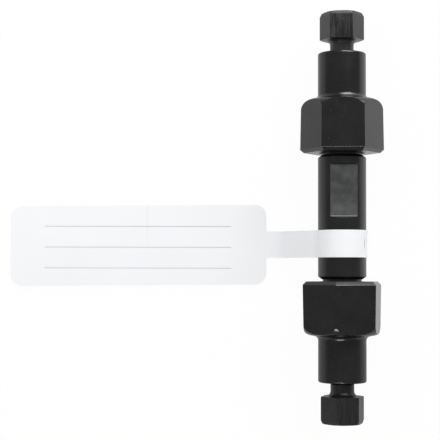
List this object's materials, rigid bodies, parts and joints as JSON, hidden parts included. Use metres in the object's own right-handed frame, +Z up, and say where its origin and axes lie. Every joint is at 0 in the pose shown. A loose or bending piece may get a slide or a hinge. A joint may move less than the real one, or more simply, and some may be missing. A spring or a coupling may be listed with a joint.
{
  "type": "ion chromatography guard column",
  "caption": "Short inert chromatography column with hex end fittings, screw-in end plugs, a pair of wrench flats on the tube and a film tag looped round it.",
  "frame": {"origin": "on the column's axis, halfway between the two ends of the packed tube", "axes": "+Y along the column towards its inlet end, +Z up with the column lying on its nuts, the tag lies towards -X"},
  "size_m": [0.0993, 0.1074, 0.0214],
  "materials": {
    "tube_polymer": "machined black engineering plastic, satin",
    "fitting_polymer": "moulded black engineering plastic, satin",
    "plug_polymer": "moulded black plastic, satin",
    "frit_polymer": "porous sintered plastic, dull off-white",
    "seal_polymer": "plain natural plastic, satin",
    "resin": "fine packed beads, dull amber",
    "tag_film": "smooth white plastic film, satin"
  },
  "bodies": {
    "column": {"column_tube": "tube_polymer", "resin_bed": "resin", "tag": "tag_film"},
    "inlet_fitting": {"inlet_end_fitting": "fitting_polymer", "inlet_frit": "frit_polymer", "inlet_seal_ring": "seal_polymer"},
    "outlet_fitting": {"outlet_end_fitting": "fitting_polymer", "outlet_frit": "frit_polymer", "outlet_seal_ring": "seal_polymer"},
    "inlet_plug_body": {"inlet_plug": "plug_polymer"},
    "outlet_plug_body": {"outlet_plug": "plug_polymer"}
  },
  "joints": [
    {"name": "inlet_fitting_off", "type": "slide", "parent": "column", "child": "inlet_fitting", "axis": [0, 1, 0], "range_m": [0, 0.012]},
    {"name": "outlet_fitting_off", "type": "slide", "parent": "column", "child": "outlet_fitting", "axis": [0, -1, 0], "range_m": [0, 0.012]},
    {"name": "inlet_plug_out", "type": "slide", "parent": "inlet_fitting", "child": "inlet_plug_body", "axis": [0, 1, 0], "range_m": [0, 0.013]},
    {"name": "outlet_plug_out", "type": "slide", "parent": "outlet_fitting", "child": "outlet_plug_body", "axis": [0, -1, 0], "range_m": [0, 0.013]}
  ]
}
